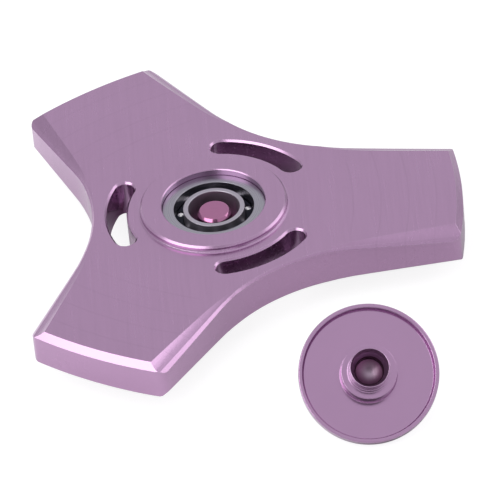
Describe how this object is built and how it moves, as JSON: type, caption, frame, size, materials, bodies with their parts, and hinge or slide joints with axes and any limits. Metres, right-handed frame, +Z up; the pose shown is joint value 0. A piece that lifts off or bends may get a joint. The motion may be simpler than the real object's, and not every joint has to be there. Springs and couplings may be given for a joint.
{
  "type": "fidget spinner",
  "caption": "Three-arm fidget spinner with a one-piece metal frame, open ball bearing at its hub and push-in finger buttons, one of them lying loose beside it.",
  "frame": {"origin": "centre of the lower button's flat outer face, on the table", "axes": "+Z up along the bearing axis; +X lies within two degrees of the middle of one arm; the loose button lies towards -Y"},
  "size_m": [0.0536, 0.0698, 0.0121],
  "materials": {
    "frame_pink_anodised": "satin",
    "button_pink_anodised": "satin",
    "race_steel": "satin",
    "ball_steel": "polished",
    "cage_black": "matte"
  },
  "bodies": {
    "axle": {"lower_button": "button_pink_anodised", "bearing_inner_race": "race_steel"},
    "spinner": {"spinner_frame": "frame_pink_anodised", "bearing_outer_race": "race_steel"},
    "cage": {"bearing_cage": "cage_black"},
    "ball_1": {"bearing_ball_1": "ball_steel"},
    "ball_2": {"bearing_ball_2": "ball_steel"},
    "ball_3": {"bearing_ball_3": "ball_steel"},
    "ball_4": {"bearing_ball_4": "ball_steel"},
    "ball_5": {"bearing_ball_5": "ball_steel"},
    "ball_6": {"bearing_ball_6": "ball_steel"},
    "ball_7": {"bearing_ball_7": "ball_steel"},
    "ball_8": {"bearing_ball_8": "ball_steel"},
    "ball_9": {"bearing_ball_9": "ball_steel"},
    "ball_10": {"bearing_ball_10": "ball_steel"},
    "loose_button": {"upper_button": "button_pink_anodised"}
  },
  "joints": [
    {"name": "spinner_spin", "type": "hinge", "parent": "axle", "child": "spinner", "pos_m": [0, 0, 0.00545], "axis": [0, 0, 1], "continuous": true},
    {"name": "cage_spin", "type": "hinge", "parent": "axle", "child": "cage", "pos_m": [0, 0, 0.00545], "axis": [0, 0, 1], "continuous": true},
    {"name": "ball_1_roll", "type": "hinge", "parent": "cage", "child": "ball_1", "pos_m": [0.00415, 0.00135, 0.00545], "axis": [0, 0, 1], "continuous": true},
    {"name": "ball_2_roll", "type": "hinge", "parent": "cage", "child": "ball_2", "pos_m": [0.00257, 0.00353, 0.00545], "axis": [0, 0, 1], "continuous": true},
    {"name": "ball_3_roll", "type": "hinge", "parent": "cage", "child": "ball_3", "pos_m": [0, 0.00436, 0.00545], "axis": [0, 0, 1], "continuous": true},
    {"name": "ball_4_roll", "type": "hinge", "parent": "cage", "child": "ball_4", "pos_m": [-0.00257, 0.00353, 0.00545], "axis": [0, 0, 1], "continuous": true},
    {"name": "ball_5_roll", "type": "hinge", "parent": "cage", "child": "ball_5", "pos_m": [-0.00415, 0.00135, 0.00545], "axis": [0, 0, 1], "continuous": true},
    {"name": "ball_6_roll", "type": "hinge", "parent": "cage", "child": "ball_6", "pos_m": [-0.00415, -0.00135, 0.00545], "axis": [0, 0, 1], "continuous": true},
    {"name": "ball_7_roll", "type": "hinge", "parent": "cage", "child": "ball_7", "pos_m": [-0.00257, -0.00353, 0.00545], "axis": [0, 0, 1], "continuous": true},
    {"name": "ball_8_roll", "type": "hinge", "parent": "cage", "child": "ball_8", "pos_m": [0, -0.00436, 0.00545], "axis": [0, 0, 1], "continuous": true},
    {"name": "ball_9_roll", "type": "hinge", "parent": "cage", "child": "ball_9", "pos_m": [0.00257, -0.00353, 0.00545], "axis": [0, 0, 1], "continuous": true},
    {"name": "ball_10_roll", "type": "hinge", "parent": "cage", "child": "ball_10", "pos_m": [0.00415, -0.00135, 0.00545], "axis": [0, 0, 1], "continuous": true},
    {"name": "upper_button_turn_over", "type": "hinge", "parent": "axle", "child": "loose_button", "pos_m": [0.00625, -0.01847, 0.01506], "axis": [-0.8957, -0.4207, -0.1442], "range_deg": [0, 217.86]}
  ],
  "couplings": [
    {"joint": "cage_spin", "follows": "spinner_spin", "ratio": 0.59049},
    {"joint": "ball_1_roll", "follows": "spinner_spin", "ratio": 2.6722},
    {"joint": "ball_2_roll", "follows": "spinner_spin", "ratio": 2.6722},
    {"joint": "ball_3_roll", "follows": "spinner_spin", "ratio": 2.6722},
    {"joint": "ball_4_roll", "follows": "spinner_spin", "ratio": 2.6722},
    {"joint": "ball_5_roll", "follows": "spinner_spin", "ratio": 2.6722},
    {"joint": "ball_6_roll", "follows": "spinner_spin", "ratio": 2.6722},
    {"joint": "ball_7_roll", "follows": "spinner_spin", "ratio": 2.6722},
    {"joint": "ball_8_roll", "follows": "spinner_spin", "ratio": 2.6722},
    {"joint": "ball_9_roll", "follows": "spinner_spin", "ratio": 2.6722},
    {"joint": "ball_10_roll", "follows": "spinner_spin", "ratio": 2.6722}
  ]
}
